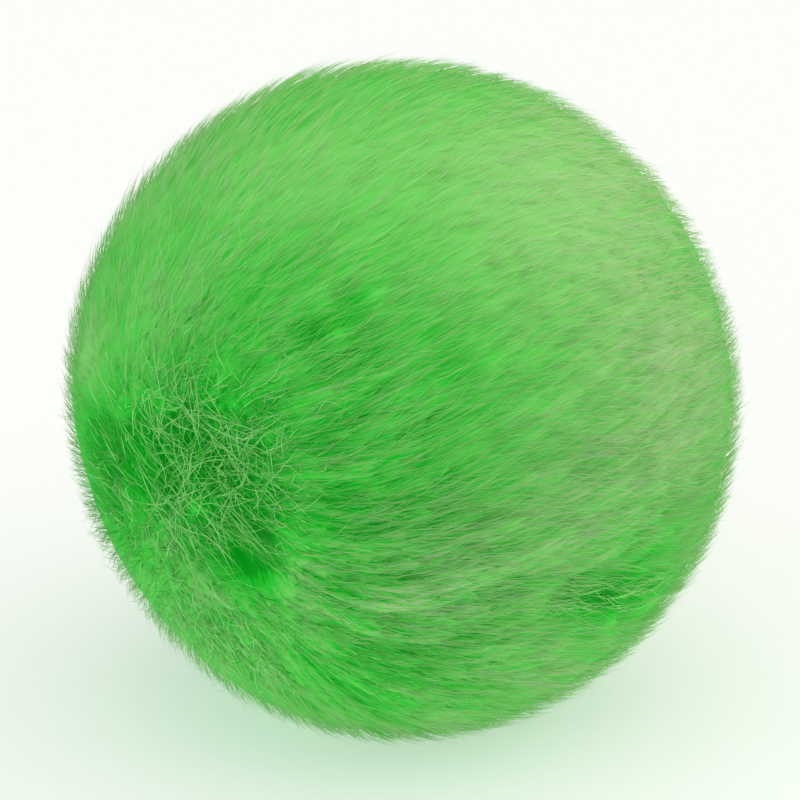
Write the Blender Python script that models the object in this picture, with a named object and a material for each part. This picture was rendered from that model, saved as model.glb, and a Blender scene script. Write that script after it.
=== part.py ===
"""A faux-fur pom pom: one ball of long combed pile, resting on the fur underneath it.

For Blender 4.5. Metres, +Z up. The origin is the middle of the flat spot that the ball
rests on. The ball is one solid: a backing with locks of fur rooted in it. Every lock
follows the same combing, away from the crown and towards the gather on the far side, so
the locks lie over one another like shingles and touch only at their roots.
"""

import math
import random

import bmesh
import bpy
from mathutils import Vector

# Driving sizes of the ball
POM_RADIUS = 0.065  # from the centre to the longest tips
BACKING_RADIUS = 0.042  # the gathered cloth with its dense underfur
CENTRE_HEIGHT = 0.059  # less than the radius, because the fur underneath gives way
PILE_RISE = POM_RADIUS - BACKING_RADIUS

# The combing
CROWN = Vector((-0.862, -0.410, -0.298)).normalized()  # where the fur parts
COMB = 0.62  # how far the tips are swept away from the crown, in radians
BEND = 2.0  # above 1, a lock leaves its root upright and lies down towards its tip
WAVES = 5.0  # waves in the lie of the fur, in radians for one radius
WAVE_SIZE = 0.05  # how far they shift the tips, as a share of the radius

# The locks: the backing is a cube's grid blown up into a ball, one lock to a cell
CELLS_PER_SIDE = 7
PARTING = 0.0005  # half of the gap between two neighbouring roots
CELL_WANDER = 0.05  # how far the cells' corners stray, so that no rows show, in radians
SHORTEST_LOCK = 0.84  # lift of the shortest tips, as a share of the full pile
TIP_WANDER = 0.0028  # how far a tip strays from the middle of its own cell
PASSING_HEIGHT = 0.0003  # least height of a lock that only passes the floor
LOCK_STEPS = [
    # (share of the lock's lift, width as a share of its cell)
    (0.26, 0.86),
    (0.54, 0.76),
    (0.80, 0.48),
]
FOOT_WIDTH = 0.60  # the width's share where a lock stands on the floor

# The dips, where the fur stands lower
DIPS = [
    # (direction from the ball's centre, reach in radii, depth as a share of the pile)
    (CROWN, 0.90, 0.14),
    (Vector((-0.80, -0.60, 0.01)), 0.20, 0.22),
    (Vector((-0.60, -0.78, 0.18)), 0.12, 0.14),
    (Vector((-0.44, -0.89, -0.13)), 0.18, 0.24),
    (Vector((0.60, -0.72, -0.34)), 0.20, 0.18),
]

SEED = 25
FUR_GREEN = (0.075, 0.46, 0.055, 1.0)
FUR_ROUGHNESS = 0.85
SMOOTH_BELOW = math.radians(40)

CENTRE = Vector((0.0, 0.0, CENTRE_HEIGHT))
DOWN = Vector((0.0, 0.0, -1.0))
HALVINGS = 30  # steps of a search, enough for any of them


def swept(direction, sweep):
    """A direction moved away from the crown. Undone by the same sweep, made negative.

    This map opens the ball's surface out at the crown and closes it at the gather, and
    keeps small squares square, so locks that are apart at their roots stay apart.
    """
    along = direction.dot(CROWN)
    moved = direction + ((math.cosh(sweep) - 1) * along - math.sinh(sweep)) * CROWN
    return moved.normalized()


def combed(root, lift):
    """Where fur rooted at a direction has got to, as a direction, at a lift of 0 to 1."""
    lie = swept(root, COMB * lift**BEND)
    wave = Vector(math.sin(WAVES * axis) for axis in (lie.y, lie.z, lie.x))
    return (lie + WAVE_SIZE * lift * wave).normalized()


def fur_point(root, lift):
    """The same as a place, from the backing at a lift of 0 to the tip at 1."""
    return CENTRE + combed(root, lift) * (BACKING_RADIUS + PILE_RISE * lift)


def lift_above_floor(root, tip_lift):
    """The lift at which fur meets the floor, or its tip's lift if it stays above."""
    if fur_point(root, tip_lift).z >= 0:
        return tip_lift
    above, below = 0.0, tip_lift
    for _ in range(HALVINGS):
        middle = (above + below) / 2
        if fur_point(root, middle).z >= 0:
            above = middle
        else:
            below = middle
    return above


def root_over(target):
    """The root direction of the fur that meets the floor in the target's direction."""
    root = target.copy()
    for _ in range(HALVINGS):
        landing = combed(root, lift_above_floor(root, 1.0))
        root = (root + target - landing).normalized()
    return root


def dip(direction):
    """How much lower the fur stands in a direction, as a share of the full pile."""
    total = 0.0
    for middle, reach, depth in DIPS:
        nearness = max(0.0, 1.0 - (direction - middle).length / reach)
        total += depth * nearness**2 * (3.0 - 2.0 * nearness)
    return total


def stray(dice, size):
    """A small random shift."""
    return Vector(dice.uniform(-size, size) for _ in range(3))


def backing_cells(bm, dice):
    """Makes the backing ball in bm, and returns its cells, each parted from the next.

    The cells are smaller at the crown and larger at the gather, by half of the combing,
    so that the locks are of one size over the ball. One cell's lock stands on the origin.
    """
    bmesh.ops.create_cube(bm, size=2.0)
    cuts = CELLS_PER_SIDE - 1
    bmesh.ops.subdivide_edges(bm, edges=bm.edges[:], cuts=cuts, use_grid_fill=True)
    cells = bm.faces[:]
    standing = min(cells, key=lambda cell: cell.calc_center_median().angle(DOWN))
    turn = DOWN.rotation_difference(swept(root_over(DOWN), COMB / 2))
    for vert in bm.verts:
        corner = Vector(math.tan(axis * math.pi / 4) for axis in vert.co).normalized()
        if vert not in standing.verts[:]:
            corner += stray(dice, CELL_WANDER)
        corner = swept(turn @ corner.normalized(), -COMB / 2)
        vert.co = CENTRE + corner * BACKING_RADIUS
    bmesh.ops.inset_individual(bm, faces=cells, thickness=PARTING, use_even_offset=True)
    return cells


def drawn_out(bm, face):
    """The face pulled out of the solid, with walls behind it, still in its old place."""
    return bmesh.ops.extrude_discrete_faces(bm, faces=[face])["faces"][0]


def grow_lock(bm, cell, dice):
    """Draws one cell of the backing out into a lock that ends in a tip or on the floor."""
    corners = [(vert.co - CENTRE).normalized() for vert in cell.verts]
    middle = sum(corners, Vector()).normalized()
    tip_lift = dice.uniform(SHORTEST_LOCK, 1.0) - dip(combed(middle, 1.0))
    tip_stray = stray(dice, TIP_WANDER)
    stands = fur_point(middle, tip_lift).z < 0

    for share, width in LOCK_STEPS:
        cell = drawn_out(bm, cell)
        for corner, vert in zip(corners, cell.verts):
            root = middle.lerp(corner, width).normalized()
            top = lift_above_floor(root, tip_lift) if stands else tip_lift
            vert.co = fur_point(root, share * top)
            vert.co.z = max(vert.co.z, PASSING_HEIGHT)

    cell = drawn_out(bm, cell)
    if stands:
        for corner, vert in zip(corners, cell.verts):
            root = middle.lerp(corner, FOOT_WIDTH).normalized()
            vert.co = fur_point(root, lift_above_floor(root, 1.0))
            vert.co.z = 0.0
    else:
        tip = fur_point(middle, tip_lift) + tip_stray
        reach = BACKING_RADIUS + PILE_RISE * tip_lift
        tip = CENTRE + (tip - CENTRE).normalized() * reach
        tip.z = max(tip.z, PASSING_HEIGHT)
        bmesh.ops.pointmerge(bm, verts=cell.verts[:], merge_co=tip)


def fur_material():
    """Plain green acrylic pile."""
    material = bpy.data.materials.new("green_pile")
    material.use_nodes = True
    shader = material.node_tree.nodes["Principled BSDF"]
    shader.inputs["Base Color"].default_value = FUR_GREEN
    shader.inputs["Roughness"].default_value = FUR_ROUGHNESS
    shader.inputs["Metallic"].default_value = 0.0
    return material


def pom_pom(collection):
    """The whole ball, as one object."""
    dice = random.Random(SEED)
    bm = bmesh.new()
    for cell in backing_cells(bm, dice):
        grow_lock(bm, cell, dice)
    bmesh.ops.recalc_face_normals(bm, faces=bm.faces[:])
    mesh = bpy.data.meshes.new("pom_pom")
    bm.to_mesh(mesh)
    bm.free()
    mesh.shade_smooth()
    mesh.set_sharp_from_angle(angle=SMOOTH_BELOW)
    mesh.materials.append(fur_material())
    ball = bpy.data.objects.new("pom_pom", mesh)
    collection.objects.link(ball)
    return ball


def main():
    """Clears the scene and builds the pom pom in a collection of its own."""
    for old in list(bpy.data.objects):
        bpy.data.objects.remove(old)
    collection = bpy.data.collections.new("Pom pom")
    bpy.context.scene.collection.children.link(collection)
    pom_pom(collection)


main()
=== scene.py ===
"""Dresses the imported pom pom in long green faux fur, hair by hair.

For Blender 4.5. Metres, +Z up, with the origin at the middle of the flat spot that the
ball rests on. The frame holds a backing with a few hundred thick locks. Here the mass of
the fur, with its swaths and partings, and some tens of thousands of single hairs take
their place. All of it obeys one combing rule, as the frame's locks do: the fur leaves the
backing upright and lies down away from the crown, towards the gather on the far side.
"""

import logging
import math
from dataclasses import dataclass
from enum import Enum

import bpy
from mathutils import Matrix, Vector


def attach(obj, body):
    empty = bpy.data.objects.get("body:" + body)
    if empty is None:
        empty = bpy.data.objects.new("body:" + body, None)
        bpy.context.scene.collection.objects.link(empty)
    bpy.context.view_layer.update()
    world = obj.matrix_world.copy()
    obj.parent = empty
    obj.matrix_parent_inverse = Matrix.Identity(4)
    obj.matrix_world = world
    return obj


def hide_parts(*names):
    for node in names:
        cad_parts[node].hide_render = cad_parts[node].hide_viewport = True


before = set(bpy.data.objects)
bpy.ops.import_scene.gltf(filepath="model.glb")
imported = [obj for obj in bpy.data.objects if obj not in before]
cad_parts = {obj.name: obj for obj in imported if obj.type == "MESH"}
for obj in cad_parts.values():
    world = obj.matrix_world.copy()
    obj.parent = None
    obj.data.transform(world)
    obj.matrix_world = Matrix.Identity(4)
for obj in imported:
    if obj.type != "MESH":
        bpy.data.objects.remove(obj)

NODE = "pom_pom"
BODY = "root"

log = logging.getLogger("pom_pom")

Feed = object  # what a socket takes: a number, a vector, a name, a material or another socket
Feeds = dict[str, Feed]  # by the name of the input that each goes into
Socket = bpy.types.NodeSocket
Colour = tuple[float, float, float]  # linear red, green and blue
Stops = tuple[tuple[float, Colour], ...]  # of a colour ramp: each one's place and colour


class Coat(Enum):
    """The kinds of fur, by the name of their material."""

    MASS = "fur_mass"
    PILE = "pile_hair"
    GUARD = "guard_hair"
    # dark hairs that paint shade between the locks
    SHADE = "shaded_hair"
    WISP = "loose_hair"


class TreeWriter:
    """Writes a node tree one node at a time, and hands back the sockets that matter."""

    def __init__(self, tree: bpy.types.NodeTree) -> None:
        """Keeps the tree, which is a Geometry Nodes tree or a material's."""
        self.tree = tree

    def socket(self, sockets: list, name: str) -> Socket:
        """The first of a node's inputs or outputs that has this name and is in use."""
        return next(found for found in sockets if found.enabled and found.name == name)

    def feed(self, socket: Socket, value: Feed) -> None:
        """Links a socket to another one, or sets its value.

        Args:
            socket: The input socket.
            value: An output socket, or a plain value.
        """
        if isinstance(value, Socket):
            self.tree.links.new(value, socket)
        else:
            socket.default_value = value

    def node(self, kind: str, feeds: Feeds | None = None, **settings: Feed) -> bpy.types.Node:
        """Adds a node.

        Args:
            kind: Blender's name for the node's type.
            feeds: What goes into each named input.
            settings: The node's own properties.

        Returns:
            The new node.
        """
        made = self.tree.nodes.new(kind)
        for name, value in settings.items():
            setattr(made, name, value)
        for name, value in (feeds or {}).items():
            self.feed(self.socket(made.inputs, name), value)
        return made

    def out(self, kind: str, feeds: Feeds | None = None, **settings: Feed) -> Socket:
        """Adds a node, and returns the first of its outputs that is in use."""
        made = self.node(kind, feeds, **settings)
        return next(found for found in made.outputs if found.enabled)

    def step(self, kind: str, operation: str, values: tuple[Feed, ...]) -> Socket:
        """One step of arithmetic.

        Args:
            kind: Blender's name for the node's type.
            operation: What the node does.
            values: Its operands in order.

        Returns:
            The result's socket.
        """
        made = self.node(kind, operation=operation)
        for socket, value in zip([found for found in made.inputs if found.enabled], values):
            self.feed(socket, value)
        return next(found for found in made.outputs if found.enabled)

    def math(self, operation: str, *values: Feed) -> Socket:
        """A number from numbers, by an operation of the Math node."""
        return self.step("ShaderNodeMath", operation, values)

    def vector(self, operation: str, *values: Feed) -> Socket:
        """A vector or a number from vectors, by an operation of the Vector Math node."""
        return self.step("ShaderNodeVectorMath", operation, values)

    def unit(self, vector: Feed) -> Socket:
        """A vector of length 1 in the same direction."""
        return self.vector("NORMALIZE", vector)

    def moved(self, place: Feed, way: Feed, size: Feed) -> Socket:
        """A place moved on along a vector, by this many times its length."""
        return self.vector("ADD", place, self.vector("SCALE", way, size))

    def both(self, first: Socket, second: Socket) -> Socket:
        """Whether two things are true at once."""
        return self.step("FunctionNodeBooleanMath", "AND", (first, second))

    def mix(self, share: Feed, first: Feed, second: Feed, data_type: str = "FLOAT") -> Socket:
        """A blend: the first value where the share is 0, the second one where it is 1."""
        feeds = {"Factor": share, "A": first, "B": second}
        return self.out("ShaderNodeMix", feeds, data_type=data_type)

    def total(self, start: Feed, *shares: tuple[Feed, Feed]) -> Socket:
        """A sum of products.

        Args:
            start: What the sum starts from.
            shares: Pairs of numbers, each pair multiplied and added.

        Returns:
            The sum's socket.
        """
        for value, weight in shares:
            start = self.math("MULTIPLY_ADD", value, weight, start)
        return start

    def span(self, value: Feed, start: Feed, end: Feed) -> Socket:
        """A soft step from 0 to 1 while the value goes from start to end."""
        feeds = {"Value": value, "From Min": start, "From Max": end}
        return self.out("ShaderNodeMapRange", feeds, interpolation_type="SMOOTHSTEP")

    def parts(self, vector: Socket) -> list[Socket]:
        """The three numbers of a vector."""
        return list(self.node("ShaderNodeSeparateXYZ", {"Vector": vector}).outputs)

    def joined(self, *numbers: Feed) -> Socket:
        """A vector from three numbers."""
        return self.out("ShaderNodeCombineXYZ", dict(zip("XYZ", numbers)))

    def waves(self, place: Feed, often: float, start: Feed = (0.0, 0.0, 0.0)) -> Socket:
        """A vector whose numbers swing between -1 and 1 from place to place."""
        x, y, z = self.parts(self.vector("SCALE", place, often))
        return self.vector("SINE", self.vector("ADD", self.joined(y, z, x), start))

    def at_least(self, value: Feed, least: Feed) -> Socket:
        """Whether a number is as large as another one, or larger."""
        feeds = {"A": value, "B": least}
        return self.out("FunctionNodeCompare", feeds, data_type="FLOAT", operation="GREATER_EQUAL")

    def chance(self, seed: Feed) -> Socket:
        """A random number from 0 to 1 for each point, the same in every run."""
        feeds = {"Min": 0.0, "Max": 1.0, "Seed": seed}
        return self.out("FunctionNodeRandomValue", feeds, data_type="FLOAT")

    def stray(self, seed: Feed) -> Socket:
        """A random vector for each point, each of its numbers from -1 to 1."""
        feeds = {"Min": (-1.0,) * 3, "Max": (1.0,) * 3, "Seed": seed}
        return self.out("FunctionNodeRandomValue", feeds, data_type="FLOAT_VECTOR")

    def mapped(self, feeds: Feeds) -> Socket:
        """A geometry with one more map, from its Name and its Value."""
        settings = {"data_type": "FLOAT2", "domain": "CORNER"}
        return self.out("GeometryNodeStoreNamedAttribute", feeds, **settings)

    def ramp(self, share: Feed, stops: Stops) -> Socket:
        """A colour ramp.

        Args:
            share: Where to read the ramp, from 0 to 1.
            stops: The ramp's stops.

        Returns:
            The colour's socket.
        """
        made = self.node("ShaderNodeValToRGB", {"Fac": share})
        elements = made.color_ramp.elements
        while len(elements) < len(stops):
            elements.new(0.5)
        for element, (place, colour) in zip(elements, stops):
            element.position = place
            element.color = (*colour, 1.0)
        return made.outputs["Color"]


@dataclass(frozen=True)
class Viewpoint:
    """Where the camera stands, and how a place in its view is found on the ball."""

    elevation: float = math.radians(20)
    lens: float = 135.0  # millimetres
    sensor: float = 36.0  # millimetres
    frame_pixels: float = 800.0
    ball_pixels: float = 337.0  # the ball's radius in the picture

    def towards_camera(self) -> Vector:
        """The unit vector from the ball to the camera."""
        return Vector((0.0, -math.cos(self.elevation), math.sin(self.elevation)))

    def facing(self, across: float, up: float) -> Vector:
        """The direction from the ball's centre to a place in the view.

        Args:
            across: How far right of the ball's middle, as a share of its radius.
            up: How far above the middle, as a share of the radius.

        Returns:
            A unit vector.
        """
        upwards = Vector((0.0, math.sin(self.elevation), math.cos(self.elevation)))
        depth = math.sqrt(max(0.0, 1.0 - across**2 - up**2))
        place = Vector((across, 0.0, 0.0)) + up * upwards + depth * self.towards_camera()
        return place.normalized()

    def distance(self, radius: float) -> float:
        """How far the camera stands from a ball's centre, so that the ball fills its circle."""
        slope = self.ball_pixels / self.frame_pixels * self.sensor / self.lens
        return radius / math.sin(math.atan(slope))


@dataclass(frozen=True)
class Combing:
    """How the fur lies on the ball, which has the frame's own sizes."""

    pom_radius: float = 0.065
    backing_radius: float = 0.042
    centre_height: float = 0.059
    crown: tuple[float, float, float] = (-0.862, -0.410, -0.298)
    sweep: float = 0.62  # how far the tips are swept away from the crown, in radians
    halfway: float = 0.5  # the share of the sweep at which a root's own direction is counted
    bend: float = 2.0  # above 1, fur leaves its root upright and lies down towards its tip
    waves: float = 5.0  # waves in the lie of the fur, in radians for one radius
    wave_size: float = 0.05  # how far they shift the tips, as a share of the radius
    upright: float = 0.15  # the angle from the crown within which the fur shows no streaks
    flat: float = 0.90  # the angle past which they show in full
    front: tuple[float, float, float] = (0.0, -0.9397, 0.3420)  # the side that is seen first
    front_reach: tuple[float, float] = (0.80, 1.60)  # up to where it sways in full, and at all
    sway_shift: tuple[float, float, float] = (-0.0967, 0.4062, -0.2793)  # of the middle, in radii
    sway_size: float = 0.0376  # how far the streaks swing to both sides there, in radii
    sway_waves: float = 6.059  # how often they swing, in radians for one radius
    sway_start: tuple[float, float, float] = (1.752, 3.026, 1.845)  # in radians
    swirl: tuple[float, float, float] = (-0.047, 0.233, 0.119)  # how the hairs turn round the crown

    @property
    def centre(self) -> Vector:
        """The ball's centre."""
        return Vector((0.0, 0.0, self.centre_height))

    @property
    def pile_rise(self) -> float:
        """How far the fur stands off the backing."""
        return self.pom_radius - self.backing_radius

    @property
    def axis(self) -> Vector:
        """The unit vector from the centre to the crown."""
        return Vector(self.crown).normalized()

    def lie(self, writer: TreeWriter, middle: Feed, lift: Feed) -> Socket:
        """Nodes for the direction in which the fur of one root is found at a lift.

        Args:
            writer: The tree that the nodes go into.
            middle: The direction of the fur halfway through its sweep.
            lift: 0 at the backing, 1 at the longest tips.

        Returns:
            The socket of a unit vector.
        """
        sweep = writer.math("SUBTRACT", writer.math("POWER", lift, self.bend), self.halfway)
        sweep = writer.math("MULTIPLY", sweep, self.sweep)
        along = writer.vector("DOT_PRODUCT", middle, self.axis)
        stretch = writer.math("SUBTRACT", writer.math("COSH", sweep), 1.0)
        shift = writer.math("MULTIPLY", stretch, along)
        shift = writer.math("SUBTRACT", shift, writer.math("SINH", sweep))
        moved = writer.moved(middle, self.axis, shift)
        swirl = writer.math("MULTIPLY", writer.vector("DOT_PRODUCT", middle, self.swirl), sweep)
        aside = writer.vector("CROSS_PRODUCT", self.axis, middle)
        moved = writer.unit(writer.moved(moved, aside, swirl))
        size = writer.math("MULTIPLY", lift, self.wave_size)
        return writer.unit(writer.moved(moved, writer.waves(moved, self.waves), size))

    def point(self, writer: TreeWriter, direction: Feed, lift: Feed) -> Socket:
        """Nodes for the place in a direction from the ball's centre, at a lift."""
        reach = writer.math("MULTIPLY_ADD", lift, self.pile_rise, self.backing_radius)
        return writer.moved(self.centre, direction, reach)


@dataclass(frozen=True)
class Pattern:
    """Streaks of one size, drawn out along the fur."""

    across: float  # how often they change from one side to the other, for one radian
    along: float  # how often they change along the fur, for one radian
    tone: float  # how much paler they make the fur
    rise: float = 0.0  # how far they lift the mass, as a share of the pile


@dataclass(frozen=True)
class Grain:
    """A place on the ball as the fur sees it: which way round the crown, and how far from it."""

    writer: TreeWriter
    still: Socket  # the direction from the ball's centre, with the front's own sway
    ring: Socket  # a unit vector at right angles to the crown's axis
    reach: Socket  # along the crown's axis, as long as the angle from the crown
    combed: Socket  # 0 where the fur stands upright, 1 where it lies flat
    parted: Feed  # how strongly the fur parts into locks

    TUFT_SHARE = 0.5  # how often tufts change, as a share of how often streaks do
    TUFT_SIZE = 0.45  # how strongly they show, as a share of how strongly streaks do
    FINER = 0.6  # how strongly each finer round shows, as a share of the one before
    MIDDLE = 0.5  # of Blender's noise

    def noise(self, pattern: Pattern, detail: float = 0.0) -> Socket:
        """Noise in streaks along the fur, and in tufts where it stands upright.

        Args:
            pattern: Says how often the streaks change.
            detail: How many finer rounds are laid over them.

        Returns:
            The socket of a number with its middle at 0, and mostly within 0.3 of that.
        """
        writer = self.writer
        place = writer.vector("SCALE", self.ring, pattern.across)
        place = writer.moved(place, self.reach, pattern.along)
        rounds = {"Detail": detail, "Roughness": self.FINER}
        feeds = {"Vector": place, "Scale": 1.0, **rounds}
        streaks = writer.out("ShaderNodeTexNoise", feeds)
        feeds = {"Vector": self.still, "Scale": pattern.across * self.TUFT_SHARE, **rounds}
        tufts = writer.out("ShaderNodeTexNoise", feeds)
        streaks = writer.math("SUBTRACT", streaks, self.MIDDLE)
        tufts = writer.math("MULTIPLY_ADD", tufts, self.TUFT_SIZE, -self.MIDDLE * self.TUFT_SIZE)
        return writer.math("MULTIPLY", writer.mix(self.combed, tufts, streaks), self.parted)


@dataclass(frozen=True)
class Spot:
    """A place on the ball where the fur differs from the rest."""

    facing: Vector
    reach: float  # as a share of the ball's radius
    tone: float = 0.0  # above 0 the fur is paler there, below 0 deeper
    lift: float = 0.0  # above 0 the fur stands higher, below 0 it dips
    parting: float = 0.0  # how much more the fur parts into locks
    stray: float = 0.0  # how much more the hairs cross each other


@dataclass(frozen=True)
class Fur:
    """What all coats of the fur share: the combing, its partings and its swaths."""

    combing: Combing
    spots: list[Spot]
    mass_lift: float = 0.85  # where the mass of the fur ends and single hairs begin
    shown_lift: float = 0.85  # the lift at which its patterns lie
    parting: float = 0.45  # how strongly the fur parts away from all spots
    # each pattern's noise both lifts the mass and makes it paler, so its raised streaks are painted
    # paler as light and its sunken ones deeper as shade, over the fur's own streaky colour
    swaths: Pattern = Pattern(5.0, 1.0, tone=0.15, rise=0.08)
    locks: Pattern = Pattern(15.0, 2.4, tone=0.28, rise=0.12)
    threads: Pattern = Pattern(75.0, 6.5, tone=0.85, rise=0.06)

    def spread(self, writer: TreeWriter, direction: Feed, trait: str) -> Socket | float:
        """Nodes that add up what the spots do to one trait of the fur.

        Args:
            writer: The tree that the nodes go into.
            direction: A unit vector from the ball's centre.
            trait: The name of a Spot's number: tone, lift, parting or stray.

        Returns:
            The sum's socket, or 0 where no spot touches the trait.
        """
        total: Feed = 0.0
        for spot in self.spots:
            amount = getattr(spot, trait)
            if amount:
                gap = writer.vector("DISTANCE", direction, spot.facing)
                near = writer.span(gap, spot.reach, 0.0)
                total = writer.math("MULTIPLY_ADD", near, amount, total)
        return total

    def grain(self, writer: TreeWriter, direction: Socket) -> Grain:
        """Nodes that follow the lie of the fur, for patterns drawn out along it.

        Args:
            writer: The tree that the nodes go into.
            direction: A unit vector from the ball's centre.

        Returns:
            The grain at that place.
        """
        combing = self.combing
        parted = writer.math("ADD", self.parting, self.spread(writer, direction, "parting"))
        near, far = combing.front_reach
        front = writer.span(writer.vector("DISTANCE", direction, combing.front), far, near)
        swing = writer.waves(direction, combing.sway_waves, combing.sway_start)
        size = (combing.sway_size,) * 3
        sway = writer.vector("MULTIPLY_ADD", swing, size, combing.sway_shift)
        still = writer.unit(writer.moved(direction, sway, front))
        along = writer.vector("DOT_PRODUCT", still, combing.axis)
        shift = writer.vector("SCALE", combing.axis, along)
        ring = writer.unit(writer.vector("SUBTRACT", still, shift))
        angle = writer.math("ARCCOSINE", along)
        reach = writer.vector("SCALE", combing.axis, angle)
        combed = writer.span(angle, combing.upright, combing.flat)
        return Grain(writer, still, ring, reach, combed, parted)

    def patterned(self, writer: TreeWriter, direction: Socket, start: Feed, trait: str) -> Socket:
        """Nodes that add what the fur's patterns do to one of its traits.

        Args:
            writer: The tree that the nodes go into.
            direction: A unit vector from the ball's centre.
            start: The trait without the patterns.
            trait: The name of a Pattern's number: tone or rise.

        Returns:
            The sum's socket.
        """
        grain = self.grain(writer, direction)
        patterns = (self.swaths, self.locks, self.threads)
        shares = [(grain.noise(pattern), getattr(pattern, trait)) for pattern in patterns]
        return writer.total(start, *shares)

    def mass(self, writer: TreeWriter, direction: Socket) -> Socket:
        """Nodes for the lift of the fur's mass in a direction."""
        start = writer.math("ADD", self.mass_lift, self.spread(writer, direction, "lift"))
        return self.patterned(writer, direction, start, "rise")

    def tone(self, writer: TreeWriter, direction: Socket) -> Socket:
        """Nodes for how far the fur in a direction is paler than the rest, around 0."""
        start = self.spread(writer, direction, "tone")
        return self.patterned(writer, direction, start, "tone")


def settle(node: bpy.types.Node, values: Feeds) -> None:
    """Sets a node's own sockets by name."""
    for name, value in values.items():
        node.inputs[name].default_value = value


@dataclass(frozen=True)
class Gloss:
    """How acrylic fibre shines: hardly, apart from a soft sheen on its edges."""

    sheen: float
    sheen_roughness: float = 0.5
    sheen_tint: tuple[float, float, float, float] = (0.75, 1.0, 0.6, 1.0)
    specular: float = 0.04

    def put_on(self, shader: bpy.types.Node) -> None:
        """Sets the sockets of a Principled BSDF."""
        settle(shader, {
            "Specular IOR Level": self.specular, "Sheen Weight": self.sheen,
            "Sheen Roughness": self.sheen_roughness, "Sheen Tint": self.sheen_tint,
        })


@dataclass(frozen=True)
class MassFinish:
    """The look of the fur's mass: green depths and pale crests, partly painted shade and light, and
    fine streaks between.
    """

    depths: Stops
    # painted shade: the deep, saturated green put in the narrow gaps between locks
    gap_shade: Colour  # in the narrow gaps between locks
    gap_shade_streaks: tuple[float, float] = (-0.12, -0.22)  # the noise where it begins and is full
    tone: float = 0.32
    roughness: float = 0.85
    gloss: Gloss = Gloss(sheen=0.15)
    hairs: Pattern = Pattern(190.0, 7.5, tone=0.7)
    rounds: float = 1.0  # how many finer rounds of noise the colour and the bump have
    bump: float = 0.5
    bump_height: float = 0.0004
    bump_hairs: float = 0.5  # how high the finest hairs stand, as a share of the threads

    def material(self, fur: Fur) -> bpy.types.Material:
        """The finished material.

        Args:
            fur: Gives the combing that the streaks follow.

        Returns:
            A material that reads Object coordinates.
        """
        made = bpy.data.materials.new(Coat.MASS.value)
        made.use_nodes = True
        writer = TreeWriter(made.node_tree)
        shader = made.node_tree.nodes["Principled BSDF"]
        place = writer.node("ShaderNodeTexCoord").outputs["Object"]
        direction = writer.unit(writer.vector("SUBTRACT", place, fur.combing.centre))
        grain = fur.grain(writer, direction)
        threads = grain.noise(fur.threads, self.rounds)
        hairs = grain.noise(self.hairs, self.rounds)
        tone = writer.math("ADD", fur.tone(writer, direction), self.tone)
        tone = writer.total(tone, (hairs, self.hairs.tone))
        colour = writer.ramp(tone, self.depths)
        # painted shade: where the thread streaks sink, as the bump's grooves do, the colour turns a
        # deeper green
        gap = writer.span(threads, *self.gap_shade_streaks)
        colour = writer.mix(gap, colour, (*self.gap_shade, 1.0), "RGBA")
        height = writer.total(0.0, (threads, 1.0), (hairs, self.bump_hairs))
        bump = writer.out("ShaderNodeBump", {
            "Strength": self.bump, "Distance": self.bump_height, "Height": height,
        })
        writer.feed(shader.inputs["Base Color"], colour)
        writer.feed(shader.inputs["Normal"], bump)
        settle(shader, {"Roughness": self.roughness})
        self.gloss.put_on(shader)
        return made


def opened(
    name: str, whole: tuple[str, ...], real: tuple[str, ...]
) -> tuple[TreeWriter, list[Socket]]:
    """Starts a Geometry Nodes tree with named inputs and one output.

    Args:
        name: The tree's name.
        whole: The names of the sizes that are whole numbers.
        real: The names of the other sizes. The finish is the last input.

    Returns:
        The tree's writer, and the sockets of the inputs.
    """
    tree = bpy.data.node_groups.new(name, "GeometryNodeTree")
    inputs = {"NodeSocketInt": whole, "NodeSocketFloat": real, "NodeSocketMaterial": ("Finish",)}
    for kind, names in inputs.items():
        for given in names:
            tree.interface.new_socket(given, in_out="INPUT", socket_type=kind)
    tree.interface.new_socket("Fur", in_out="OUTPUT", socket_type="NodeSocketGeometry")
    return TreeWriter(tree), tree.nodes.new("NodeGroupInput").outputs


def closed(writer: TreeWriter, mesh: Socket, finish: Socket) -> None:
    """Ends a Geometry Nodes tree with the material and the output."""
    mesh = writer.out("GeometryNodeSetMaterial", {"Geometry": mesh, "Material": finish})
    writer.tree.links.new(mesh, writer.tree.nodes.new("NodeGroupOutput").inputs[0])


def grown(
    name: str, tree: bpy.types.NodeTree, sizes: object, finish: bpy.types.Material
) -> bpy.types.Object:
    """Runs a Geometry Nodes tree and keeps what it makes as a plain mesh.

    Args:
        name: The new object's name.
        tree: The tree. Its inputs are called like the fields of the sizes.
        sizes: The dataclass that has the sizes.
        finish: The material.

    Returns:
        The object, with no modifier left on it.
    """
    made = bpy.data.objects.new(name, bpy.data.meshes.new(name + "_start"))
    bpy.context.scene.collection.objects.link(made)
    modifier = made.modifiers.new("grow", "NODES")
    modifier.node_group = tree
    for item in tree.interface.items_tree:
        if item.in_out == "INPUT":
            field = item.name.lower().replace(" ", "_")
            modifier[item.identifier] = finish if field == "finish" else getattr(sizes, field)
    graph = bpy.context.evaluated_depsgraph_get()
    mesh = bpy.data.meshes.new_from_object(made.evaluated_get(graph), depsgraph=graph)
    made.modifiers.remove(modifier)
    made.data = mesh
    mesh.name = name
    return made


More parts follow.
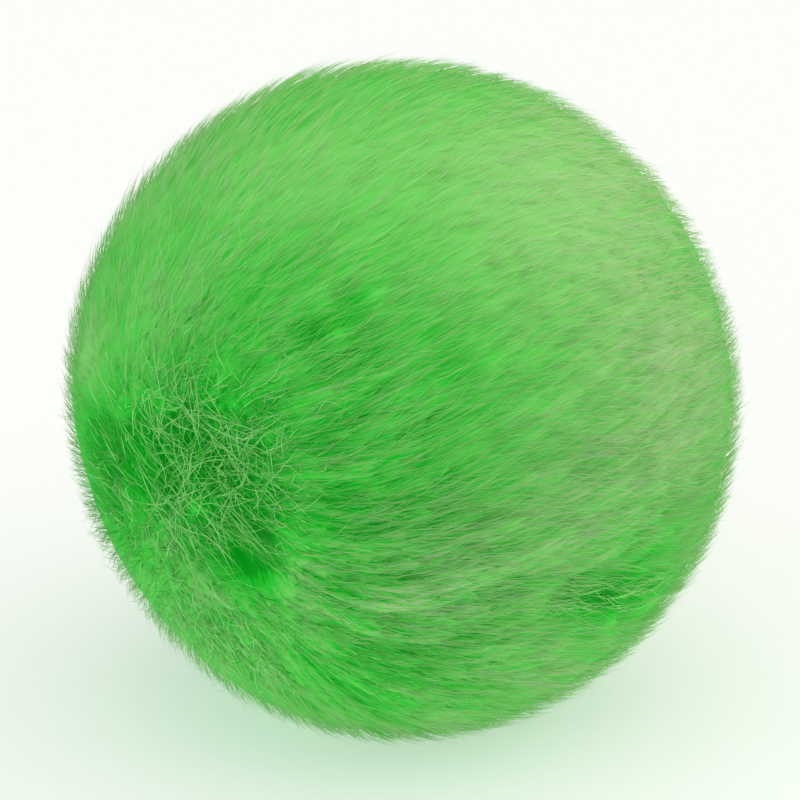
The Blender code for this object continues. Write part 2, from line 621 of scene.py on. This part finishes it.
@dataclass(frozen=True)
class FurMass:
    """The closed mass of the fur, below the hairs that can be told apart."""

    finish: MassFinish
    grid: int = 121  # vertices along each side of the cube that is blown up into the ball
    floor_gap: float = 0.0003

    CUBE = (2.0, 2.0, 2.0)  # it reaches 1 to each side

    def build(self, fur: Fur) -> bpy.types.Object:
        """Models the mass as one closed mesh.

        Args:
            fur: The combing, partings and swaths.

        Returns:
            The finished object.
        """
        writer, sizes = opened(Coat.MASS.value, ("Grid",), ("Floor gap",))
        counts = {"Vertices " + axis: sizes["Grid"] for axis in "XYZ"}
        cube = writer.node("GeometryNodeMeshCube", {"Size": self.CUBE, **counts})
        # a cube's grid stays even on the ball if it is first stretched towards its corners
        corner = writer.vector("SCALE", writer.out("GeometryNodeInputPosition"), math.pi / 4)
        direction = writer.unit(writer.vector("TANGENT", corner))
        place = fur.combing.point(writer, direction, fur.mass(writer, direction))
        x, y, z = writer.parts(place)
        place = writer.joined(x, y, writer.math("MAXIMUM", z, sizes["Floor gap"]))
        feeds = {"Geometry": cube.outputs[0], "Position": place}
        mass = writer.out("GeometryNodeSetPosition", feeds)
        feeds = {"Geometry": mass, "Name": "UVMap", "Value": cube.outputs["UV Map"]}
        mass = writer.mapped(feeds)
        mass = writer.out("GeometryNodeSetShadeSmooth", {"Geometry": mass})
        closed(writer, mass, sizes["Finish"])
        return grown(Coat.MASS.value, writer.tree, self, self.finish.material(fur))


@dataclass(frozen=True)
class HairFinish:
    """The colour and gloss of one kind of hair, from where it leaves the mass to its tip."""

    coat: Coat
    depths: Stops
    roughness: tuple[float, float]  # at the root and at the tip
    # the deeper root is partly painted shade, where the hairs shade one another near the mass; the
    # paler tip is partly the fibre's own colour
    tip_pale_root_shade: float = 0.50  # how much paler the tip is than the root, in tones
    gloss: Gloss = Gloss(sheen=0.2)

    def material(self) -> bpy.types.Material:
        """Writes the material.

        Returns:
            A material that reads a hair's tone and the place along it from the hair's map.
        """
        made = bpy.data.materials.new(self.coat.value)
        made.use_nodes = True
        writer = TreeWriter(made.node_tree)
        shader = made.node_tree.nodes["Principled BSDF"]
        tone, along, _ = writer.parts(writer.out("ShaderNodeUVMap", uv_map="UVMap"))
        from_middle = writer.math("SUBTRACT", along, 0.5)
        paler = writer.math("MULTIPLY_ADD", from_middle, self.tip_pale_root_shade, tone)
        writer.feed(shader.inputs["Base Color"], writer.ramp(paler, self.depths))
        writer.feed(shader.inputs["Roughness"], writer.mix(along, *self.roughness))
        self.gloss.put_on(shader)
        return made


class Draw(Enum):
    """What is drawn at random for each hair, by how far it moves the layer's seed on."""

    TURN = 0
    PLACE = 1
    LENGTH = 3
    TONE = 4
    STRAY = 5
    ROLL = 6
    NEAR_SPOT = 7
    REST = 8
    BOW = 9
    CURL = 10
    SMOOTH = 11


class HairTree:
    """The Geometry Nodes tree that grows a coat of single hairs on the ball.

    A hair starts as a three-sided cone that stands for any hair: its height is the place
    along the hair and its ring the place round it. The cones are put on points spread
    evenly over the ball, made real, and then every vertex is moved to where the combing,
    the locks and the hair's own stray say.
    """

    WHOLE = ("Hairs", "Sides", "Bends", "Seed")
    REAL = (
        "Width", "Shortest lift", "Longest lift", "Locks", "Pull", "Stray", "Bow", "Curl", "Tone",
        "Tone range", "Dip", "Taper", "Least parting", "Smooth share", "Near spots",
    )
    KEPT_AS = {"VALUE": "FLOAT", "VECTOR": "VECTOR"}  # by the type of a value's socket
    GOLDEN_TURN = math.pi * (3 - math.sqrt(5))  # from one point to the next on a sunflower's head
    LOCK_LUCK = 0.4  # the share of a hair's luck that its whole lock has
    GATHER = 1.3  # above 1, the hairs of a lock draw together late
    DRIFT = 1.5  # above 1, a hair strays late
    RISE = 0.9  # below 1, a hair rises early
    STEP = 0.02  # how far ahead a hair looks for its own direction
    ROLL = 0.35  # how far a hair's ridge turns away from facing outwards
    SOFTNESS = 0.85  # how far its shading follows the whole fur and not its own roundness
    SUNK = 0.05  # how far below the top of the mass a hair starts
    THIN = 0.2  # a hair's width at its root, as a share of its full width
    WIDENS = (0.15, 0.60)  # where along a hair it leaves its root's width and gets its full one
    PILED = 0.0004  # how deep hairs that lie on the floor are piled
    TONES = (0.03, 0.97)  # the deepest and the palest tone on a hair's map
    MAP_WIDTH = 0.01  # what a hair takes of its map's width

    def __init__(self, fur: Fur) -> None:
        """Builds the tree.

        Args:
            fur: The combing, partings and swaths.
        """
        self.fur = fur
        self.writer, self.sizes = opened("hairs", self.WHOLE, self.REAL)
        self.write()

    def seeded(self, draw: Draw) -> Socket:
        """The layer's seed, moved on so that each random value has its own."""
        return self.writer.math("ADD", self.sizes["Seed"], float(draw.value))

    def luck(self, lock: Socket, draw: Draw, start: float = 0.0) -> Socket:
        """A random number that a hair partly shares with its lock, counted from a start."""
        own = self.writer.chance(self.seeded(draw))
        return self.writer.total(start, (lock, self.LOCK_LUCK), (own, 1.0 - self.LOCK_LUCK))

    def astray(self, draw: Draw, size: Feed) -> Socket:
        """A random vector of up to a size."""
        return self.writer.vector("SCALE", self.writer.stray(self.seeded(draw)), size)

    def middles(self) -> Socket:
        """Nodes that spread directions evenly over a ball.

        Returns:
            The socket of a unit vector, which is another one for each point.
        """
        writer = self.writer
        own = writer.chance(self.seeded(Draw.PLACE))
        place = writer.math("ADD", writer.out("GeometryNodeInputIndex"), own)
        height = writer.math("DIVIDE", place, self.sizes["Hairs"])
        height = writer.math("MULTIPLY_ADD", height, -2.0, 1.0)
        across = writer.math("SUBTRACT", 1.0, writer.math("MULTIPLY", height, height))
        across = writer.math("SQRT", across)
        turn = writer.math("MULTIPLY_ADD", place, self.GOLDEN_TURN, self.seeded(Draw.TURN))
        x = writer.math("MULTIPLY", across, writer.math("COSINE", turn))
        y = writer.math("MULTIPLY", across, writer.math("SINE", turn))
        return writer.joined(x, y, height)

    def captured(
        self, geometry: Socket, values: dict[str, Socket]
    ) -> tuple[Socket, dict[str, Socket]]:
        """Nodes that keep values on the points of a geometry.

        Args:
            geometry: The geometry's socket.
            values: The values' sockets by name.

        Returns:
            The geometry's new socket, and the kept values' sockets by name.
        """
        node = self.writer.tree.nodes.new("GeometryNodeCaptureAttribute")
        for name, value in values.items():
            node.capture_items.new(self.KEPT_AS[value.type], name)
        for socket, value in zip(node.inputs, (geometry, *values.values())):
            self.writer.feed(socket, value)
        return node.outputs[0], {name: node.outputs[name] for name in values}

    def centre_line(self, hair: dict[str, Socket], along: Feed) -> Socket:
        """Nodes for the point at a place along a hair.

        Args:
            hair: The hair's own kept values.
            along: 0 at the root, 1 at the tip.

        Returns:
            The position's socket.
        """
        writer = self.writer
        pull = writer.math("MULTIPLY", writer.math("POWER", along, self.GATHER), hair["Pull"])
        middle = writer.mix(pull, hair["Middle"], hair["Lock"], "VECTOR")
        middle = writer.moved(middle, hair["Astray"], writer.math("POWER", along, self.DRIFT))
        bow = writer.math("SINE", writer.math("MULTIPLY", along, math.pi))
        middle = writer.moved(middle, hair["Bow"], bow)
        curl = writer.math("SINE", writer.math("MULTIPLY", along, 2 * math.pi))
        middle = writer.moved(middle, hair["Curl"], curl)
        risen = writer.math("POWER", along, self.RISE)
        lift = writer.mix(risen, hair["Root lift"], hair["Tip lift"])
        direction = self.fur.combing.lie(writer, writer.unit(middle), lift)
        return self.fur.combing.point(writer, direction, lift)

    def own_values(self) -> tuple[dict[str, Socket], Socket]:
        """Nodes for what is the same along a whole hair.

        Returns:
            The values by name, and whether the hair grows at all.
        """
        writer, sizes, fur = self.writer, self.sizes, self.fur
        middle = writer.out("GeometryNodeInputPosition")
        lock = writer.node("ShaderNodeTexVoronoi", {"Vector": middle, "Scale": sizes["Locks"]})
        lock_length, lock_tone, _ = writer.parts(lock.outputs["Color"])
        shown = fur.combing.lie(writer, middle, fur.shown_lift)
        roughness = fur.spread(writer, shown, "stray")
        parted = writer.math("ADD", fur.parting, fur.spread(writer, shown, "parting"))
        length = self.luck(lock_length, Draw.LENGTH)
        tip_lift = writer.mix(length, sizes["Shortest lift"], sizes["Longest lift"])
        raised = fur.spread(writer, shown, "lift")
        tip_lift = writer.math("MULTIPLY_ADD", raised, sizes["Dip"], tip_lift)
        luck = self.luck(lock_tone, Draw.TONE, start=-0.5)
        luck = writer.math("MULTIPLY", luck, parted)
        tone = writer.math("MULTIPLY_ADD", luck, sizes["Tone range"], sizes["Tone"])
        stray = writer.math("ADD", sizes["Stray"], roughness)
        values = {
            "Middle": middle,
            "Lock": writer.unit(lock.outputs["Position"]),
            "Pull": writer.math("MULTIPLY", sizes["Pull"], parted),
            "Astray": self.astray(Draw.STRAY, stray),
            "Bow": self.astray(Draw.BOW, sizes["Bow"]),
            "Curl": self.astray(Draw.CURL, sizes["Curl"]),
            "Roll": writer.stray(self.seeded(Draw.ROLL)),
            "Root lift": writer.math("SUBTRACT", fur.mass(writer, shown), self.SUNK),
            "Tip lift": tip_lift,
            "Tone": writer.math("ADD", tone, fur.tone(writer, shown)),
        }
        chance = writer.chance(self.seeded(Draw.NEAR_SPOT))
        near = writer.at_least(roughness, writer.math("MULTIPLY", chance, sizes["Near spots"]))
        parts = writer.at_least(parted, sizes["Least parting"])
        share = writer.math("ADD", sizes["Smooth share"], parted)
        dense = writer.at_least(share, writer.chance(self.seeded(Draw.SMOOTH)))
        return values, writer.both(writer.both(near, parts), dense)

    def skin(self, hair: dict[str, Socket], ring: Socket) -> tuple[Socket, Socket, Socket]:
        """Nodes for the skin of a hair.

        Args:
            hair: The hair's own kept values.
            ring: A vertex's place on the cone that stands for any hair.

        Returns:
            The vertex's place, its shading normal and which side of the hair it is on.
        """
        writer = self.writer
        x, y, along = writer.parts(ring)
        line = self.centre_line(hair, along)
        ahead = self.centre_line(hair, writer.math("ADD", along, self.STEP))
        run = writer.unit(writer.vector("SUBTRACT", ahead, line))
        outwards = writer.unit(writer.vector("SUBTRACT", line, self.fur.combing.centre))
        leaning = writer.vector("MULTIPLY_ADD", hair["Roll"], (self.ROLL,) * 3, outwards)
        across = writer.unit(writer.vector("CROSS_PRODUCT", run, leaning))
        upright = writer.vector("CROSS_PRODUCT", across, run)
        x, y, _ = writer.parts(writer.unit(writer.joined(x, y, 0.0)))
        shell = writer.moved(writer.vector("SCALE", upright, x), across, y)
        widened = writer.mix(writer.span(along, *self.WIDENS), self.THIN, 1.0)
        taper = writer.math("POWER", along, self.sizes["Taper"])
        taper = writer.math("MULTIPLY", writer.math("SUBTRACT", 1.0, taper), widened)
        radius = writer.math("MULTIPLY", self.sizes["Width"], 1 / math.sqrt(3))
        radius = writer.math("MULTIPLY", radius, taper)
        line_x, line_y, line_z = writer.parts(line)
        rest = writer.chance(self.seeded(Draw.REST))
        rest = writer.math("MULTIPLY_ADD", rest, self.PILED, radius)
        line = writer.joined(line_x, line_y, writer.math("MAXIMUM", line_z, rest))
        place = writer.moved(line, shell, radius)
        normal = writer.vector("SCALE", shell, 1.0 - self.SOFTNESS)
        normal = writer.vector("MULTIPLY_ADD", outwards, (self.SOFTNESS,) * 3, normal)
        return place, writer.unit(normal), y

    def write(self) -> None:
        """Writes the whole tree."""
        writer, sizes = self.writer, self.sizes
        feeds = {"Count": sizes["Hairs"], "Position": self.middles()}
        points = writer.out("GeometryNodePoints", feeds)
        values, chosen = self.own_values()
        points, hair = self.captured(points, values)
        cone = writer.out("GeometryNodeMeshCone", {
            "Vertices": sizes["Sides"], "Side Segments": sizes["Bends"],
            "Radius Top": 0.0, "Radius Bottom": 1.0, "Depth": 1.0,
        }, fill_type="NGON")
        ring = writer.out("GeometryNodeInputPosition")
        cone, kept = self.captured(cone, {"Ring": ring})
        feeds = {"Points": points, "Selection": chosen, "Instance": cone}
        hairs = writer.out("GeometryNodeInstanceOnPoints", feeds)
        hairs = writer.out("GeometryNodeRealizeInstances", {"Geometry": hairs})
        place, normal, side = self.skin(hair, kept["Ring"])
        feeds = {"Geometry": hairs, "Position": place}
        hairs = writer.out("GeometryNodeSetPosition", feeds)

        _, _, along = writer.parts(kept["Ring"])
        deepest, palest = self.TONES
        tone = writer.math("MAXIMUM", writer.math("MINIMUM", hair["Tone"], palest), deepest)
        tone = writer.math("MULTIPLY_ADD", side, self.MAP_WIDTH, tone)
        chart = writer.joined(tone, along, 0.0)
        for name in ("UVMap", "OFBake"):
            hairs = writer.mapped({"Geometry": hairs, "Name": name, "Value": chart})
        hairs = writer.out("GeometryNodeSetShadeSmooth", {"Geometry": hairs})
        feeds = {"Mesh": hairs, "Custom Normal": normal}
        hairs = writer.out("GeometryNodeSetMeshNormal", feeds, mode="FREE")
        closed(writer, hairs, sizes["Finish"])


@dataclass(frozen=True)
class HairLayer:
    """One coat of single hairs, all of one kind."""

    name: str
    finish: HairFinish
    hairs: int  # before the fur's partings and spots thin them out
    width: float  # across a hair where it is thickest
    shortest_lift: float  # of a tip
    longest_lift: float
    seed: int
    sides: int = 3  # of a hair
    bends: int = 3  # segments along a hair
    locks: float = 22.0  # locks for one radius
    pull: float = 0.35  # how far the tips of a lock are drawn together
    stray: float = 0.03  # how far a tip strays from the combing, in radians
    bow: float = 0.01  # how far the middle of a hair bows out, in radians
    curl: float = 0.0  # how far it swings to both sides
    tone: float = 0.5  # the middle of its tones
    tone_range: float = 0.4
    dip: float = 0.8  # how far the tips follow the dips of the mass
    taper: float = 1.5  # above 1, a hair keeps its width for longer before it runs out
    least_parting: float = 0.0  # hairs grow only where the fur parts more than this
    smooth_share: float = 1.0  # the share of the hairs that grow where the fur doesn't part
    near_spots: float = 0.0  # above 0, hairs grow only where a spot makes them stray this much

    def build(self, tree: HairTree) -> bpy.types.Object:
        """Grows the hairs as one plain mesh object, with their finish."""
        return grown(self.name, tree.writer.tree, self, self.finish.material())


@dataclass(frozen=True)
class SoftLight:
    """A wide soft light far from the ball."""

    name: str
    energy: float
    colour: Colour
    stands_at: tuple[float, float, float]  # the direction that it comes from
    angle: float = math.radians(80)

    def hang(self) -> None:
        """Adds the light to the scene."""
        sun = bpy.data.lights.new(self.name, "SUN")
        sun.energy = self.energy
        sun.angle = self.angle
        sun.color = self.colour
        lamp = bpy.data.objects.new(self.name, sun)
        lamp.rotation_mode = "QUATERNION"
        lamp.rotation_quaternion = Vector(self.stands_at).to_track_quat("Z", "Y")
        bpy.context.scene.collection.objects.link(lamp)


@dataclass(frozen=True)
class Studio:
    """The floor, the light and the camera."""

    view: Viewpoint
    combing: Combing
    dense_share: float = 0.965  # where the fur looks closed, as a share of the reach of its tips
    sky: float = 0.30
    floor_size: float = 12.0
    floor_colour: float = 0.66
    floor_glow: float = 0.44
    floor_roughness: float = 0.9
    floor_specular: float = 0.1
    nearest: float = 0.01  # nothing nearer to the camera is drawn
    lights: tuple[SoftLight, ...] = (
        SoftLight("key", 1.44, (1.0, 0.97, 0.84), (0.20, -0.15, 1.00)),
        SoftLight("fill", 0.60, (0.55, 0.85, 1.0), (-0.75, -0.90, 0.32)),
        SoftLight("low_fill", 0.26, (0.25, 0.50, 1.0), (0.40, -0.90, -0.10)),
        SoftLight("right_rim", 0.60, (0.85, 1.0, 0.78), (0.95, 0.20, 0.10)),
        SoftLight("left_rim", 0.15, (0.85, 0.95, 1.0), (-0.95, 0.45, 0.10)),
    )

    WHITE = (1.0, 1.0, 1.0, 1.0)

    def build(self) -> None:
        """Sets up the studio round the ball."""
        bpy.context.scene.view_settings.view_transform = "Standard"
        self.light_sky()
        self.lay_floor()
        for light in self.lights:
            light.hang()
        self.place_camera()

    def light_sky(self) -> None:
        """Makes the world a soft white."""
        world = bpy.data.worlds.new("studio")
        world.use_nodes = True
        background = world.node_tree.nodes["Background"]
        settle(background, {"Color": self.WHITE, "Strength": self.sky})
        bpy.context.scene.world = world

    def lay_floor(self) -> None:
        """Lays a plain pale floor that glows a little."""
        bpy.ops.mesh.primitive_plane_add(size=self.floor_size)
        floor = bpy.context.object
        floor.name = "floor"
        material = bpy.data.materials.new("floor")
        material.use_nodes = True
        shader = material.node_tree.nodes["Principled BSDF"]
        settle(shader, {
            "Base Color": (*(self.floor_colour,) * 3, 1.0),
            "Emission Color": self.WHITE, "Emission Strength": self.floor_glow,
            "Roughness": self.floor_roughness, "Specular IOR Level": self.floor_specular,
        })
        floor.data.materials.append(material)

    def place_camera(self) -> None:
        """Puts the camera where the ball fills its circle in the picture."""
        camera = bpy.data.cameras.new("camera")
        camera.lens = self.view.lens
        camera.sensor_width = self.view.sensor
        camera.clip_start = self.nearest
        eye = bpy.data.objects.new("camera", camera)
        back = self.view.distance(self.combing.pom_radius * self.dense_share)
        towards = self.view.towards_camera()
        eye.location = self.combing.centre + towards * back
        eye.rotation_mode = "QUATERNION"
        eye.rotation_quaternion = towards.to_track_quat("Z", "Y")
        bpy.context.scene.collection.objects.link(eye)
        bpy.context.scene.camera = eye


# the fur's greens by tone, from the depths between the locks to the palest crests. Where tone
# follows the rise of the mass and the roots of the hairs, the deep end is painted shade and the
# pale end painted light, over the fur's own tone
DEPTHS = (
    (0.00, (0.002, 0.50, 0.016)),
    (0.12, (0.014, 0.70, 0.030)),
    (0.24, (0.045, 0.75, 0.052)),
    (0.40, (0.125, 0.76, 0.096)),
    (0.60, (0.260, 0.77, 0.172)),
    (0.80, (0.430, 0.77, 0.295)),
    (1.00, (0.630, 0.81, 0.460)),
)
# painted shade: the deep, saturated green of the narrow gaps between locks
GAP_SHADE = (0.003, 0.68, 0.018)
# painted shade: dark hairs laid in the gaps between the locks, where the fur parts
SHADE = (
    (0.00, (0.002, 0.54, 0.014)),
    (1.00, (0.012, 0.68, 0.028)),
)
# the loose hairs: paler fibres than the rest, made brighter still as painted light for the light
# that they catch
LOOSE = (
    (0.00, (0.040, 0.74, 0.050)),
    (0.40, (0.120, 0.84, 0.090)),
    (0.70, (0.240, 0.93, 0.170)),
    (1.00, (0.400, 0.98, 0.280)),
)


def spots(view: Viewpoint, combing: Combing) -> list[Spot]:
    """The places where the fur differs from plain combed fur.

    Args:
        view: Finds a place in the camera's view on the ball.
        combing: Gives the crown.

    Returns:
        The spots. What they do adds up where they overlap.
    """

    def at(across: float, up: float, reach: float, **traits: float) -> Spot:
        """A spot at a place in the view, in radii from the ball's middle."""
        return Spot(view.facing(across, up), reach, **traits)

    return [
        # painted light: the top and the right, towards the lights, made paler, with smoother fur at
        # the top
        at(0.66, 0.40, 0.90, tone=0.30, parting=-0.02),
        at(0.20, 0.70, 0.80, tone=0.18, parting=-0.30),
        at(-0.35, 0.62, 0.50, tone=0.16, parting=-0.10),
        at(0.80, -0.08, 0.60, tone=0.22, parting=0.10),
        at(0.62, 0.72, 0.45, tone=0.14),
        at(-0.66, 0.68, 0.45, tone=0.16),
        # deeper green on the left, low down and round the pocket, painted shade where less light
        # falls, with paler swaths among it
        at(-0.90, -0.22, 0.40, tone=-0.36),
        at(0.40, -0.36, 0.50, tone=0.22, parting=0.15),
        at(0.66, -0.52, 0.34, tone=-0.14),
        at(0.02, -0.46, 0.28, tone=0.14),
        at(-0.66, 0.24, 0.32, tone=0.16),
        at(0.20, -0.90, 0.80, tone=0.04),
        at(-0.12, -0.80, 0.30, tone=-0.20),
        at(0.40, -0.76, 0.30, tone=0.16),
        at(0.05, -0.62, 0.24, tone=0.14),
        # where the fur parts more, low down and round the crown
        at(-0.05, -0.75, 0.70, parting=0.45),
        at(-0.46, -0.28, 0.90, tone=-0.02, parting=0.90),
        at(-0.88, -0.50, 0.35, parting=-0.15),
        # the crown: a pale lip, a dipped notch below it painted deeper as shade, and the low fur
        # round it
        at(-0.90, 0.12, 0.22, tone=0.25, lift=0.06),
        at(-0.88, -0.12, 0.20, tone=-0.20, lift=-0.10),
        Spot(combing.axis, reach=0.90, lift=-0.09),
        # the tangle: its loose hairs over fur painted deeper as shade, a pale ridge down its
        # middle, and dips on both sides painted deeper still as shade
        at(-0.56, -0.20, 0.42, tone=-0.41, lift=-0.06, stray=0.17),
        at(-0.75, -0.20, 0.40, stray=0.06),
        at(-0.68, -0.08, 0.14, tone=0.16, lift=0.05),
        at(-0.58, -0.30, 0.14, tone=0.12, lift=0.05),
        at(-0.55, -0.54, 0.14, tone=0.20, lift=0.03),
        at(-0.73, -0.16, 0.21, tone=-0.66, lift=-0.22, parting=-1.05, stray=-0.10),
        at(-0.61, -0.10, 0.12, tone=-0.35, lift=-0.14, parting=-1.00),
        at(-0.53, -0.20, 0.12, tone=-0.35, lift=-0.14, parting=-1.00),
        at(-0.46, -0.43, 0.19, tone=-0.58, lift=-0.24, parting=-1.02, stray=-0.05),
        at(-0.30, -0.50, 0.14, tone=0.18),
        at(-0.50, -0.70, 0.35, tone=0.03, stray=0.07),
        # the pocket low on the right: a dip painted deeper as shade
        at(0.50, -0.56, 0.13, tone=-0.30, lift=-0.12, stray=0.05),
        at(0.60, -0.57, 0.13, tone=-0.40, lift=-0.16, stray=0.06),
        at(0.70, -0.57, 0.13, tone=-0.30, lift=-0.12, stray=0.05),
        # deep gaps between locks in the middle: dips painted deeper as shade
        at(-0.25, 0.19, 0.09, tone=-0.18, lift=-0.10),
        at(-0.14, 0.24, 0.09, tone=-0.18, lift=-0.10),
        at(0.15, 0.09, 0.10, tone=-0.15, lift=-0.08),
    ]


def coats() -> list[HairLayer]:
    """The coats of single hairs.

    Returns:
        The coats in the order in which they are grown.
    """
    pile = HairFinish(Coat.PILE, DEPTHS, (0.9, 0.6))
    guard = HairFinish(Coat.GUARD, LOOSE, (0.9, 0.5))
    shade = HairFinish(Coat.SHADE, SHADE, (0.9, 0.9), gloss=Gloss(sheen=0.0))
    wisp = HairFinish(Coat.WISP, LOOSE, (0.9, 0.5))
    even = {"tone_range": 0.45, "pull": 0.2, "smooth_share": 0.08}
    return [
        HairLayer("pile_a", pile, 18_500, 0.00017, 0.89, 0.98, 10, tone=0.50, **even),
        HairLayer("pile_b", pile, 18_500, 0.00017, 0.89, 0.99, 20, tone=0.50, **even),
        HairLayer("pile_c", pile, 18_500, 0.00016, 0.90, 1.00, 30, tone=0.52, **even),
        HairLayer(
            "guard_hair", guard, 9_000, 0.00016, 0.92, 1.03, 50,
            stray=0.07, bow=0.03, tone=0.64, smooth_share=0.14,
        ),
        # painted shade: dark hairs in the gaps between the locks
        HairLayer(
            "shaded_hair", shade, 14_000, 0.00022, 0.86, 0.94, 70, bends=2,
            bow=0.0, tone_range=0.5, taper=2.0, least_parting=0.70,
        ),
        HairLayer(
            "wisps", wisp, 58_000, 0.00021, 0.85, 0.97, 60, bends=6, pull=0.0, stray=0.02,
            bow=0.030, curl=0.013, tone=1.25, tone_range=0.2, dip=0.3, taper=2.5, near_spots=0.15,
        ),
    ]


def main() -> None:
    """Builds the fur, the studio and the camera."""
    logging.basicConfig(level=logging.INFO, format="%(name)s: %(message)s")
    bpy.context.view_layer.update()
    view = Viewpoint()
    combing = Combing()
    fur = Fur(combing, spots(view, combing))
    tree = HairTree(fur)
    pieces = [FurMass(MassFinish(DEPTHS, GAP_SHADE)).build(fur)]
    pieces += [coat.build(tree) for coat in coats()]
    total = 0
    for piece in pieces:
        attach(piece, BODY)
        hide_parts(NODE)
        piece.data.calc_loop_triangles()
        count = len(piece.data.loop_triangles)
        total += count
        log.info("%s: %d triangles", piece.name, count)
    log.info("all: %d triangles", total)
    Studio(view, combing).build()


if __name__ == "__main__":
    main()
